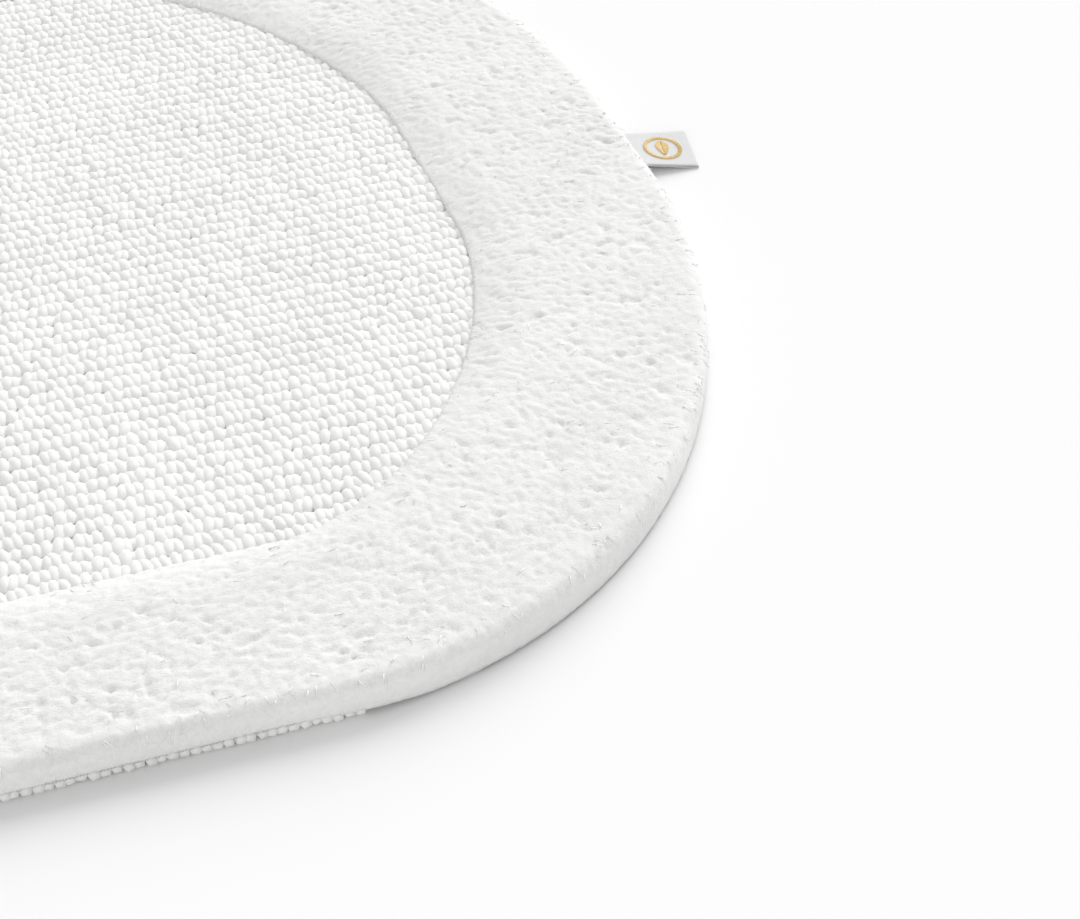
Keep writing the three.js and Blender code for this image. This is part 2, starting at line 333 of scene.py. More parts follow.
def beads_along_rows_tree():
    """One rounded lump of yarn at each tuft of a row, each a little out of place, turned and sized."""
    inputs = {
        "Spacing": "Float", "Bead Size": "Vector", "Stand": "Vector", "Wander": "Vector", "Turn": "Vector"
    }
    inputs |= {
        "Size Spread": "Float", "Sway": "Vector", "Sway Scale": "Float", "Segments": "Int", "Rings": "Int"
    }
    inputs |= {
        "Core": "Bool", "Core Radius": "Float", "Core Drop": "Float", "Lump": "Float", "Lump Scale": "Float"
    }
    inputs |= {"Seed": "Int", "Material": "Material"}
    tree, given, out = new_tree("Beads along rows", inputs)
    get = given.outputs
    curve = place(tree, "GeometryNodeMeshToCurve", {"Mesh": get["Geometry"]})
    tufts = place(
        tree,
        "GeometryNodeResampleCurve",
        {"Curve": curve.outputs[0], "Length": get["Spacing"]},
        mode="LENGTH",
    )
    minus = vector_maths(tree, "MULTIPLY", get["Wander"], (-1, -1, -1))
    wander = random_vector(tree, minus, get["Wander"], get["Seed"])
    here = place(tree, "GeometryNodeInputPosition")
    slow = noise(tree, here.outputs[0], get["Sway Scale"], 1.0)
    centred = vector_maths(tree, "SUBTRACT", slow["Color"], (0.5, 0.5, 0.5))
    sway = vector_maths(tree, "MULTIPLY", centred, get["Sway"])
    swayed = shifted(tree, tufts.outputs[0], sway)
    moved = shifted(tree, swayed, wander)
    drop = place(tree, "ShaderNodeCombineXYZ", {"Z": get["Core Drop"]})
    lowered = shifted(tree, swayed, drop.outputs[0])
    round_core = place(
        tree, "GeometryNodeCurvePrimitiveCircle", {"Resolution": 6, "Radius": get["Core Radius"]}
    )
    along = {"Curve": lowered, "Profile Curve": round_core.outputs[0], "Fill Caps": True}
    core = place(tree, "GeometryNodeCurveToMesh", along)
    wanted = place(
        tree, "GeometryNodeSwitch", {"Switch": get["Core"], "True": core.outputs[0]}, input_type="GEOMETRY"
    )
    ball = place(
        tree,
        "GeometryNodeMeshUVSphere",
        {"Segments": get["Segments"], "Rings": get["Rings"], "Radius": 0.5},
    )
    bead = place(tree, "GeometryNodeTransform", {"Geometry": ball.outputs[0], "Rotation": get["Stand"]})
    shaped = place(tree, "GeometryNodeTransform", {"Geometry": bead.outputs[0], "Scale": get["Bead Size"]})
    less = vector_maths(tree, "MULTIPLY", get["Turn"], (-1, -1, -1))
    turn_seed = place(tree, "FunctionNodeIntegerMath", {0: get["Seed"], 1: 1}, operation="ADD").outputs[0]
    turn = random_vector(tree, less, get["Turn"], turn_seed)
    size_seed = place(tree, "FunctionNodeIntegerMath", {0: get["Seed"], 1: 2}, operation="ADD").outputs[0]
    smallest = maths(tree, "SUBTRACT", 1.0, get["Size Spread"])
    largest = maths(tree, "ADD", 1.0, get["Size Spread"])
    size = random_vector(tree, smallest, largest, size_seed)
    put = {"Points": moved, "Instance": shaped.outputs[0], "Rotation": turn, "Scale": size}
    beads = place(tree, "GeometryNodeInstanceOnPoints", put)
    all_yarn = place(tree, "GeometryNodeJoinGeometry")
    tree.links.new(beads.outputs[0], all_yarn.inputs[0])
    tree.links.new(wanted.outputs[0], all_yarn.inputs[0])
    solid = place(tree, "GeometryNodeRealizeInstances", {"Geometry": all_yarn.outputs[0]})
    uneven = noise(tree, here.outputs[0], get["Lump Scale"], 1.0)
    around = vector_maths(tree, "SUBTRACT", uneven["Color"], (0.5, 0.5, 0.5))
    push = vector_maths(tree, "SCALE", around, get["Lump"])
    lumpy = shifted(tree, solid.outputs[0], push)
    return give_out(tree, out, lumpy, get["Material"])


beads_along_rows = beads_along_rows_tree()


def row_lines(name, rows):
    """A mesh with one straight edge for each row: (half length, y, z)."""
    mesh = bpy.data.meshes.new(name)
    points = [(side * reach, y, z) for reach, y, z in rows for side in (-1, 1)]
    mesh.from_pydata(points, [(2 * i, 2 * i + 1) for i in range(len(rows))], [])
    return mesh


def rows_of(node):
    """Where the middles of a node's rows lie across the mat."""
    low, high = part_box(node)
    count = round((high.y - low.y) / row_pitch)
    middle = (low.y + high.y) / 2
    return [middle + (i - (count - 1) / 2) * row_pitch for i in range(count)]


stitch_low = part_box(stitch_nodes[0])[0]
stitch_size = (5.4 * MM, 8.0 * MM, 5.0 * MM)
stitch_push = 1.9 * MM  # the outermost rows are pushed out to the rim
push_fall = 14  # and the push dies away this steeply towards the middle
row_end_share = 0.5  # a row ends where the cloth is this share of a pitch wider than the row
stitch_yarn = cotton_material("Stitch yarn", (0.80, 0.80, 0.79, 1), (0.88, 0.88, 0.87, 1), 0.25 * MM)
for index, node in enumerate(stitch_nodes):
    rows = []
    for y in rows_of(node):
        reach = half_chord(mat_outline, cloth_inset, abs(y) + row_end_share * row_pitch) - tuft_spacing / 2
        pushed = y + math.copysign(stitch_push * (abs(y) / mat_outline["half"][1]) ** push_fall, y)
        rows.append((reach, pushed, stitch_low.z + stitch_size[2] / 2))
    sizes = {"Spacing": tuft_spacing, "Bead Size": stitch_size, "Stand": (0, math.radians(90), 0)}
    sizes |= {"Wander": (0.5 * MM, 0.3 * MM, 0.1 * MM), "Turn": (0.1, 0.05, 0.3), "Size Spread": 0.06}
    sizes |= {"Sway": (0, 0.6 * MM, 0), "Sway Scale": 14.0, "Segments": 5, "Rings": 3}
    sizes |= {"Core": False, "Lump": 0.9 * MM, "Lump Scale": 260.0}
    sizes |= {"Seed": 100 + index, "Material": stitch_yarn}
    stitches = grown(
        node.replace("back_stitches", "stitch_rows"), row_lines(node, rows), beads_along_rows, sizes
    )
    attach(stitches, "mat")
    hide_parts(node)


# ---- Field loops -------------------------------------------------------------------------------
# The middle of the mat: rows of low uncut yarn loops, packed against each other, a little uneven in
# height and direction. They stand lower than the border around them.
loop_nodes = sorted(n for n in frame["nodes"] if n.startswith("field_loops"))
loop_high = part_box(loop_nodes[0])[1]
field_border = (90 * MM, 84 * MM)
field_outline = {
    "half": tuple(h - b for h, b in zip(mat_outline["half"], field_border)),
    "corner": (120 * MM, 171 * MM),
    "power": 1.66,
}
loop_size = (5.7 * MM, 9.9 * MM, 4.2 * MM)
loop_under_border = 2.5 * MM
loop_yarn = cotton_material("Loop yarn", (0.83, 0.83, 0.825, 1), (0.89, 0.89, 0.88, 1), 0.18 * MM)
for index, node in enumerate(loop_nodes):
    rows = []
    for y in rows_of(node):
        reach = half_chord(field_outline, 0, y) + loop_under_border
        tufts_in_row = 2 * round(reach / tuft_spacing) + round(abs(y) / row_pitch - 0.5) % 2
        rows.append((tufts_in_row * tuft_spacing / 2, y, loop_high.z - loop_size[2] / 2))
    sizes = {"Spacing": tuft_spacing, "Bead Size": loop_size, "Stand": (math.radians(90), 0, 0)}
    sizes |= {"Wander": (0.85 * MM, 0.4 * MM, 0.22 * MM), "Turn": (0.05, 0.05, 0.25), "Size Spread": 0.12}
    sizes |= {"Sway": (0, 2.5 * MM, 1.0 * MM), "Sway Scale": 13.0, "Segments": 7, "Rings": 5}
    sizes |= {
        "Core": True, "Core Radius": 4.0 * MM, "Core Drop": -2.4 * MM, "Lump": 1.2 * MM, "Lump Scale": 200.0
    }
    sizes |= {"Seed": 300 + index, "Material": loop_yarn}
    loops = grown(node.replace("field_loops", "loop_rows"), row_lines(node, rows), beads_along_rows, sizes)
    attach(loops, "mat")
    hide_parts(node)


# ---- Cut-pile border ---------------------------------------------------------------------------
# The raised border: long yarn ends cut level, which spread into soft clumps with small pits between
# them and lean out over the rim. Inside, it slopes gently down to the field. Round the corners and the
# two ends its outer pile hangs down to the floor and hides the stitches; along the sides they show.
# It is one ring on the mat, in four stretches here.
pile_bottom, pile_top = border_low.z, border_high.z
outer_shoulder = 5.0 * MM
lip_depth, lip_width = 4.7 * MM, 24 * MM  # the pile slopes down to the field over this width
outer_foot = 0.6 * MM  # along the sides the outer wall ends this far above the pile's foot
corner_hang = 3.6 * MM  # round the corners and ends it hangs down to the floor, past the stitches
hang_from, hang_over = 270 * MM, 50 * MM
hem_thickness = 1.1 * MM
pile_grid = 1.15 * MM
border_cut_x = 150 * MM  # where the two ends of the border meet its two sides
rim_band = 12 * MM  # the pile is combed outwards this close to the rim
lip_band = 7 * MM


def quarter_path(outline, counts):
    """Points of a quarter outline from the +X axis to the +Y axis: end straight, corner, side straight."""
    radius, centre = corner_of(outline)
    end, bend, side = counts
    points = [(outline["half"][0], centre[1] * i / end) for i in range(end)]
    fine = np.linspace(0, math.pi / 2, 2000)  # many points, to measure the bend by
    curve_x = centre[0] + radius[0] * np.cos(fine) ** (2 / outline["power"])
    curve_y = centre[1] + radius[1] * np.sin(fine) ** (2 / outline["power"])
    run = np.concatenate([[0], np.cumsum(np.hypot(np.diff(curve_x), np.diff(curve_y)))])
    stops = np.linspace(0, run[-1], bend + 1)[:-1]
    points += list(zip(np.interp(stops, run, curve_x), np.interp(stops, run, curve_y)))
    points += [(centre[0] * (1 - i / side), outline["half"][1]) for i in range(side)]
    return np.array(points)


def ring_path(outline, counts):
    """The whole outline, anticlockwise from the +X axis, by mirroring the quarter."""
    first = quarter_path(outline, counts)
    top = np.array([[0, outline["half"][1]]])
    second = np.concatenate([top, first[:0:-1]]) * (-1, 1)
    return np.concatenate([first, second, -first, -second])


def across_border(width):
    """The border's section from the foot of its inner wall, over the top, to the foot of its outer wall and
    back up behind it: (distance from the inner wall, height, outward and upward direction, how freely the
    pile stands there, how far it takes part in the hang at the corners)."""
    section = []
    wall_freedom, lip_freedom, foot_freedom, shoulder_freedom = 0.3, 0.8, 0.25, 0.6
    wall_steps, lip_steps, shoulder_steps, top_steps, outer_steps = 4, 21, 7, 53, 6
    for i in range(wall_steps):
        z = pile_bottom + (pile_top - lip_depth - pile_bottom) * i / wall_steps
        section.append((0, z, -1, 0, wall_freedom, 0))
    for i in range(lip_steps):
        left = 1 - i / lip_steps
        slope = 2 * lip_depth / lip_width * left
        up = 1 / math.hypot(slope, 1)
        z = pile_top - lip_depth * left**2
        section.append((lip_width * (1 - left), z, -slope * up, up, lip_freedom, 0))
    for i in range(top_steps):
        x = lip_width + (width - lip_width - outer_shoulder) * i / top_steps
        section.append((x, pile_top, 0, 1, 1.0, 0))
    for i in range(shoulder_steps):
        angle = math.pi / 2 * i / shoulder_steps
        out, up = math.sin(angle), math.cos(angle)
        x, z = width - outer_shoulder * (1 - out), pile_top - outer_shoulder * (1 - up)
        section.append((x, z, out, up, wall_freedom + shoulder_freedom * up, 0))
    wall_top = pile_top - outer_shoulder
    for i in range(outer_steps + 1):
        z = wall_top + (pile_bottom + outer_foot - wall_top) * i / outer_steps
        section.append((width, z, 1, 0, foot_freedom, i / outer_steps))
    section.append((width - hem_thickness, z, 0, 0, 0, 1))
    section.append((width - hem_thickness, z, 0, 0, 0, 0))
    return np.array(section)


mean_width = sum(field_border) / 2
quarter_lengths = (36 * MM, 300 * MM, 288 * MM)  # end straight, corner, side straight
steps_around = [max(2, round(length / pile_grid)) for length in quarter_lengths]
outer_path = ring_path(mat_outline, steps_around)
inner_path = ring_path(field_outline, steps_around)
columns = len(outer_path)
section = across_border(mean_width)
steps_across = len(section)
outward = outer_path - inner_path
width_here = np.hypot(*outward.T)[:, None]
outward /= width_here
upright = np.broadcast_to(section[None, :, 3, None], (columns, steps_across, 1))
from_inner = section[None, :, 0] * width_here / mean_width
flat = inner_path[:, None, :] + outward[:, None, :] * from_inner[..., None]
points = np.concatenate([flat, np.broadcast_to(section[None, :, 1, None], (columns, steps_across, 1))], -1)
hang = corner_hang * np.clip((np.abs(outer_path[:, 0]) - hang_from) / hang_over, 0, 1)
points[..., 2] -= hang[:, None] * section[None, :, 5]
lean = np.concatenate([outward[:, None, :] * section[None, :, 2, None], upright], -1)
skin_step = np.linalg.norm(np.diff(points, axis=1), axis=-1)
over = np.concatenate([np.zeros((columns, 1)), np.cumsum(skin_step, axis=1)], axis=1)
path_step = np.linalg.norm(np.diff(outer_path, axis=0, append=outer_path[:1]), axis=-1)
to_rim = width_here - from_inner
at_rim = np.clip(1 - to_rim / rim_band, 0, 1)
at_lip = np.clip(1 - from_inner / lip_band, 0, 1)
lip_comb = 0.7  # at the lip the pile is combed the other way, a little less
comb_out = at_rim - lip_comb * at_lip
comb_level = outward[:, None, :] * (comb_out * upright[..., 0])[..., None]
comb_down = (-np.abs(comb_out) * np.abs(section[None, :, 2]))[..., None]
comb = np.concatenate([comb_level, comb_down], -1)


def border_stretch(name, first, count):
    """A closed stretch of the ring: its skin, its underside and a cap at each end. Every point knows how
    far round the ring and over the section it lies, and which way its pile is combed."""
    unwrapped = (first - ring_start) % columns + np.arange(count + 1)
    picked = (unwrapped + ring_start) % columns
    mesh = bpy.data.meshes.new(name)
    grid = np.arange((count + 1) * steps_across).reshape(count + 1, steps_across)
    quads = np.stack([grid[:-1, 1:], grid[1:, 1:], grid[1:, :-1], grid[:-1, :-1]], -1).reshape(-1, 4)
    under = np.stack([grid[:-1, 0], grid[1:, 0], grid[1:, -1], grid[:-1, -1]], -1)
    faces = np.concatenate([quads, under]).tolist() + [grid[0].tolist(), grid[-1].tolist()[::-1]]
    mesh.from_pydata(points[picked].reshape(-1, 3).tolist(), [], faces)
    run = np.interp(unwrapped, np.arange(columns + 1), around_from_start)
    near_start = np.minimum(run, run_length - run) / rim_band
    rim_share = np.maximum(at_rim, at_lip)[picked] * np.clip(near_start, 0, 1)[:, None]
    ring_place = np.stack([np.broadcast_to(run[:, None], over[picked].shape), over[picked], rim_share], -1)
    vectors = {"lean": lean[picked], "comb": comb[picked], "ring_place": ring_place}
    for label, values in vectors.items():
        mesh.attributes.new(label, "FLOAT_VECTOR", "POINT").data.foreach_set("vector", values.ravel())
    freedom = np.tile(section[:, 4], count + 1)
    mesh.attributes.new("freedom", "FLOAT", "POINT").data.foreach_set("value", freedom)
    return mesh


def tuft_lumps(tree, where, scale):
    """Rounded lumps packed together, 0 at their tops and about 0.5 in the creases between them."""
    lump = place(tree, "ShaderNodeTexVoronoi", {"Vector": where, "Scale": scale}, feature="F1")
    return maths(tree, "POWER", lump.outputs["Distance"], 2.0)


def cut_pile_tree():
    """Presses the border's skin in: creases between combed tufts, slow swells, and scattered dents."""
    inputs = {"Tuft Scale": "Float", "Tuft Depth": "Float", "Swell Scale": "Float", "Swell Depth": "Float"}
    inputs |= {"Pit Scale": "Float", "Pit Depth": "Float", "Usual Depth": "Float", "Material": "Material"}
    tree, given, out = new_tree("Cut pile", inputs)
    get = given.outputs
    warp_scale, warp_reach = 130.0, 7 * MM
    tuft_lie, rim_tuft_lie = (0.95, 1.1, 1.0), (1.2, 0.6, 0.0)
    pit_starts, pit_full = 0.60, 0.78
    here = place(tree, "GeometryNodeInputPosition").outputs[0]
    ring = stored(tree, "ring_place")
    warp = noise(tree, here, warp_scale, 2.0)
    warp_by = vector_maths(tree, "SCALE", warp["Color"], warp_reach)
    lying = vector_maths(tree, "MULTIPLY", here, tuft_lie)
    warped = vector_maths(tree, "ADD", lying, warp_by)
    combed = vector_maths(tree, "MULTIPLY", ring, rim_tuft_lie)
    rim_warped = vector_maths(tree, "ADD", combed, warp_by)
    rim_share = place(tree, "ShaderNodeSeparateXYZ", {0: ring}).outputs["Z"]
    either = {"Factor": rim_share, "A": tuft_lumps(tree, warped, get["Tuft Scale"])}
    either |= {"B": tuft_lumps(tree, rim_warped, get["Tuft Scale"])}
    tuft = place(tree, "ShaderNodeMix", either, data_type="FLOAT").outputs[0]
    tuft_down = maths(tree, "MULTIPLY", tuft, get["Tuft Depth"])
    swell = noise(tree, here, get["Swell Scale"], 3.0)
    swell_down = maths(tree, "MULTIPLY", swell["Fac"], get["Swell Depth"])
    pit = noise(tree, warped, get["Pit Scale"], 1.0)
    pit_range = {"Value": pit["Fac"], "From Min": pit_starts, "From Max": pit_full}
    pit_mask = place(tree, "ShaderNodeMapRange", pit_range)
    inside = maths(tree, "SUBTRACT", 1.0, rim_share)
    pit_here = maths(tree, "MULTIPLY", pit_mask.outputs[0], inside)
    pit_down = maths(tree, "MULTIPLY", pit_here, get["Pit Depth"])
    sum_a = maths(tree, "ADD", tuft_down, swell_down)
    sum_b = maths(tree, "ADD", sum_a, pit_down)
    freedom = stored(tree, "freedom", "FLOAT")
    usual = maths(tree, "SUBTRACT", sum_b, get["Usual Depth"])
    down = maths(tree, "MULTIPLY", usual, freedom)
    inward = maths(tree, "MULTIPLY", down, -1.0)
    offset = vector_maths(tree, "SCALE", stored(tree, "lean"), inward)
    moved = shifted(tree, get["Geometry"], offset)
    whole = place(tree, "GeometryNodeRealizeInstances", {"Geometry": moved})
    return give_out(tree, out, whole.outputs[0], get["Material"])


def pile_strands_group():
    """Fine strands lying the way the pile is combed: along the mat on top, outwards at the rim and down its
    wall. The strands on top are in the mat's own place, those at the rim in the place round the ring."""
    sizes = {"Strand Scale": 1150.0, "Strand Stretch": 0.6}
    group, given, out = shader_group("Pile strands", sizes, {"Height": "NodeSocketFloat"})
    get = given.outputs
    where = place(group, "ShaderNodeTexCoord").outputs["Object"]
    ring = place(
        group, "ShaderNodeAttribute", attribute_name="ring_place", attribute_type="GEOMETRY"
    ).outputs["Vector"]
    rim_share = place(group, "ShaderNodeSeparateXYZ", {0: ring}).outputs["Z"]
    bend_scale, bend_reach, strand_height_share = 120.0, 4 * MM, 1.8
    bend = noise(group, where, bend_scale, 2.0)
    bend_by = vector_maths(group, "SCALE", bend["Color"], bend_reach)
    on_top = place(group, "ShaderNodeCombineXYZ", {"X": get["Strand Stretch"], "Y": 1.0, "Z": 0.2})
    on_rim = place(group, "ShaderNodeCombineXYZ", {"X": 1.0, "Y": get["Strand Stretch"], "Z": 0.0})
    heights = []
    for source, squeeze in ((where, on_top.outputs[0]), (ring, on_rim.outputs[0])):
        bent = vector_maths(group, "ADD", source, bend_by)
        laid = vector_maths(group, "MULTIPLY", bent, squeeze)
        wave = {"Vector": laid, "Scale": get["Strand Scale"], "Detail": 3.0}
        heights.append(place(group, "ShaderNodeTexNoise", wave).outputs["Fac"])
    both = {"Factor": rim_share, "A": heights[0], "B": heights[1]}
    mixed = place(group, "ShaderNodeMix", both, data_type="FLOAT").outputs[0]
    raised = maths(group, "MULTIPLY", mixed, strand_height_share)
    group.links.new(raised, out.inputs["Height"])
    return group


cut_pile = cut_pile_tree()
pile_strands = pile_strands_group()


def strand_height(tree):
    return place(tree, "ShaderNodeGroup", node_tree=pile_strands).outputs["Height"]


pile_dark, pile_light = (0.77, 0.77, 0.765, 1), (0.84, 0.84, 0.83, 1)
pile_yarn = cotton_material("Cut pile yarn", pile_dark, pile_light, 0.22 * MM, 0.3, strand_height, 0.5)
cut_right_top = int(np.argmax(outer_path[:, 0] < border_cut_x))
cut_left_top = columns // 2 - cut_right_top
ring_start = cut_right_top
around_from_start = np.concatenate([[0], np.cumsum(np.roll(path_step, -ring_start))])
run_length = around_from_start[-1]
stretches = {
    "border_label_end": (columns - cut_right_top, 2 * cut_right_top),
    "border_back_side": (cut_right_top, cut_left_top - cut_right_top),
    "border_plain_end": (cut_left_top, columns - 2 * cut_left_top),
    "border_front_side": (columns - cut_left_top, cut_left_top - cut_right_top),
}
pile_sizes = {"Tuft Scale": 340.0, "Tuft Depth": 1.4 * MM, "Swell Scale": 45.0, "Swell Depth": 0.9 * MM}
pile_sizes |= {"Pit Scale": 130.0, "Pit Depth": 1.2 * MM, "Usual Depth": 0.85 * MM, "Material": pile_yarn}
border_pieces = []
for name, (first, count) in stretches.items():
    stretch = grown(name, border_stretch(name, first, count), cut_pile, pile_sizes)
    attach(stretch, "mat")
    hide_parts("border_cut_pile")
    border_pieces.append(stretch)


def loose_strands_tree():
    """Single yarn ends lying on the pile the way it is combed, each a thin straight spike sunk by its foot.
    """
    inputs = {"Density": "Float", "Rim Density": "Float", "Length": "Float", "Thickness": "Float"}
    inputs |= {"Rise": "Float", "Stray": "Vector", "Seed": "Int", "Material": "Material"}
    tree, given, out = new_tree("Loose strands", inputs)
    get = given.outputs
    least_freedom = 0.45  # on the walls no strand grows
    tip_radius = 0.1 * MM
    smallest, largest = (0.7, 0.7, 0.6), (1.3, 1.3, 1.2)
    ring = stored(tree, "ring_place")
    comb = stored(tree, "comb")
    rim_share = place(tree, "ShaderNodeSeparateXYZ", {0: ring}).outputs["Z"]
    extra = maths(tree, "MULTIPLY", rim_share, get["Rim Density"])
    density = maths(tree, "ADD", extra, get["Density"])
    freedom = stored(tree, "freedom", "FLOAT")
    loose = place(tree, "FunctionNodeCompare", {0: freedom, 1: least_freedom}, operation="GREATER_THAN")
    spread = {
        "Mesh": get["Geometry"], "Selection": loose.outputs[0], "Density": density, "Seed": get["Seed"]
    }
    feet = place(tree, "GeometryNodeDistributePointsOnFaces", spread)
    spike_size = {
        "Vertices": 3, "Side Segments": 2, "Radius Top": tip_radius, "Radius Bottom": get["Thickness"]
    }
    spike_size |= {"Depth": get["Length"]}
    spike = place(tree, "GeometryNodeMeshCone", spike_size)
    sunk_share = 0.3
    sink = maths(tree, "MULTIPLY", get["Length"], -sunk_share)
    sunk_by = place(tree, "ShaderNodeCombineXYZ", {"Z": sink})
    sunk = place(
        tree, "GeometryNodeTransform", {"Geometry": spike.outputs[0], "Translation": sunk_by.outputs[0]}
    )
    rise = vector_maths(tree, "SCALE", feet.outputs["Normal"], get["Rise"])
    back = vector_maths(tree, "MULTIPLY", get["Stray"], (-1, -1, -1))
    stray = random_vector(tree, back, get["Stray"], get["Seed"])
    up_and_over = vector_maths(tree, "ADD", rise, comb)
    direction = vector_maths(tree, "ADD", up_and_over, stray)
    aim = {"Vector": direction}
    turned = place(tree, "FunctionNodeAlignRotationToVector", aim, axis="Z")
    size_seed = place(tree, "FunctionNodeIntegerMath", {0: get["Seed"], 1: 1}, operation="ADD").outputs[0]
    size = random_vector(tree, smallest, largest, size_seed)
    put = {
        "Points": feet.outputs["Points"],
        "Instance": sunk.outputs[0],
        "Rotation": turned.outputs[0],
        "Scale": size,
    }
    ends = place(tree, "GeometryNodeInstanceOnPoints", put)
    whole = place(tree, "GeometryNodeRealizeInstances", {"Geometry": ends.outputs[0]})
    return give_out(tree, out, whole.outputs[0], get["Material"])


loose_strands = loose_strands_tree()
# The loose strands are the pile's own yarn, painted nearly white and so lighter than the pile: painted
# light, so that the shade on their undersides does not show and they read as brightly lit fibre ends.
strand_yarn_painted_lit = cotton_material("Loose strands", (0.94, 0.94, 0.93, 1), (0.98, 0.98, 0.97, 1), 0.05 * MM, 0.2)
strand_sizes = {"Density": 3000.0, "Rim Density": 32000.0, "Length": 4.0 * MM, "Thickness": 0.34 * MM}
strand_sizes |= {"Rise": 0.04, "Stray": (0.7, 0.35, 0.04), "Material": strand_yarn_painted_lit}
for index, stretch in enumerate(border_pieces):
    name = stretch.name.replace("border", "strands")
    strands = grown(name, stretch.data.copy(), loose_strands, strand_sizes | {"Seed": 500 + index})
    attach(strands, "mat")
    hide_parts("border_cut_pile")


# ---- Ribbon label ------------------------------------------------------------------------------
# A narrow satin-woven ribbon folded double. Both ends are sewn down on the base cloth at the middle
# of the short end, under the pile, and the fold hangs out free and droops to the floor.
tail_low, tail_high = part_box("label_tail")
label_joint = frame["joints"][0]
bend_at = Vector(label_joint["pos_m"])
ribbon_width = tail_high.y - tail_low.y
ribbon_middle = (tail_high.y + tail_low.y) / 2
ribbon_thickness = 0.42 * MM
flap_length = 28 * MM
ply_apart_at_bend = 0.26 * MM  # from the flap's mid-plane to a ply's middle
ply_apart_at_fold = 0.55 * MM
label_turn = math.radians(-8)  # it is sewn on a little askew
label_shift = -1.8 * MM
droop = math.radians(6.5)
twist = math.radians(6)  # its near corner hangs lower than its far one


def ply_apart(distance):
    """How far each ply's middle lies from the flap's mid-plane, at a distance from the bend."""
    opening = 1.5  # the plies part more towards the fold
    share = min(max(distance / flap_length, 0), 1) ** opening
    return ply_apart_at_bend + (ply_apart_at_fold - ply_apart_at_bend) * share


def laid(along, across, rise):
    """A point of the label: its distance out from the bend, across from its middle, and above it."""
    bend_reach = 4 * MM  # it has turned fully into its droop this far out
    free = max(along, 0)
    sway = twist * min(free / flap_length, 1)
    x = along * math.cos(droop) if along > 0 else along
    x += rise * math.sin(droop) * min(free / bend_reach, 1)
    z = bend_at.z - free * math.sin(droop) + across * math.sin(sway) + rise
    turned_x = x * math.cos(label_turn) - across * math.sin(label_turn)
    turned_y = x * math.sin(label_turn) + across * math.cos(label_turn)
    return Vector((bend_at.x + turned_x, ribbon_middle + label_shift + turned_y, z))


def ribbon_path():
    """The ribbon's middle line as (distance out, height, facing out, facing up), from one sewn end round
    the fold to the other."""
    sewn_steps, free_steps, fold_steps = 7, 22, 8
    crowding = 1.3  # the steps lie closer together near the bend
    fold_at = flap_length - ply_apart_at_fold - ribbon_thickness / 2
    sewn = [(tail_low.x - bend_at.x) * (1 - i / sewn_steps) for i in range(sewn_steps)]
    free = [fold_at * (i / free_steps) ** crowding for i in range(free_steps + 1)]
    beneath = [(d, -ply_apart(d), 0, -1) for d in sewn + free]
    fold = []
    for i in range(1, fold_steps):
        angle = -math.pi / 2 + math.pi * i / fold_steps
        out, up = math.cos(angle), math.sin(angle)
        fold.append((fold_at + out * ply_apart_at_fold, up * ply_apart_at_fold, out, up))
    above = [(d, ply_apart(d), 0, 1) for d in reversed(sewn + free)]
    return beneath + fold + above


def ribbon_mesh(path):
    """The ribbon as a closed strip along the path, with its thickness, in columns across its width."""
    columns_across = 24
    selvedge_share = 0.55  # its two edges are thinner than its middle
    rounds = []
    for k in range(columns_across + 1):
        across = ribbon_width * (k / columns_across - 0.5)
        half = ribbon_thickness / 2 * (selvedge_share if k in (0, columns_across) else 1.0)
        outer = [laid(d + out * half, across, h + up * half) for d, h, out, up in path]
        inner = [laid(d - out * half, across, h - up * half) for d, h, out, up in path]
        rounds.append(outer + inner[::-1])
    size = len(rounds[0])
    vertices = [tuple(p) for r in rounds for p in r]
    faces = []
    for k in range(columns_across):
        for i in range(size):
            a, b = k * size + i, k * size + (i + 1) % size
            faces.append((a, a + size, b + size, b))
    for k in (0, columns_across):
        for i in range(size // 2 - 1):
            quad = [k * size + i, k * size + i + 1, k * size + size - 2 - i, k * size + size - 1 - i]
            faces.append(tuple(quad[::-1] if k else quad))
    mesh = bpy.data.meshes.new("label_ribbon")
    mesh.from_pydata(vertices, [], faces)
    mesh.shade_smooth()
    return mesh


def satin_weave(tree):
    """Fine ribs across the ribbon with a faint rib along it."""
    where = place(tree, "ShaderNodeTexCoord").outputs["Object"]
    parts = place(tree, "ShaderNodeSeparateXYZ", {0: where}).outputs
    heights = []
    for axis, pitch, weight in (("X", 0.42 * MM, 0.8), ("Y", 0.3 * MM, 0.5)):
        angle = maths(tree, "MULTIPLY", parts[axis], 2 * math.pi / pitch)
        wave = maths(tree, "SINE", angle)
        heights.append(maths(tree, "MULTIPLY", wave, weight))
    return maths(tree, "ADD", heights[0], heights[1])


satin = cotton_material(
    "Satin ribbon", (0.65, 0.65, 0.66, 1), (0.69, 0.69, 0.70, 1), 0.03 * MM, 0.2, satin_weave
)
satin.node_tree.nodes["Principled BSDF"].inputs["Roughness"].default_value = 0.55
satin.node_tree.nodes["Principled BSDF"].inputs["Specular IOR Level"].default_value = 0.4
path_of_ribbon = ribbon_path()
middle_line = [laid(d, 0, h) for d, h, out, up in path_of_ribbon]
ribbon = new_object("label_ribbon", ribbon_mesh(path_of_ribbon))
ribbon.data.materials.append(satin)
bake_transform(ribbon)
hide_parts("label_tail", "label_flap")


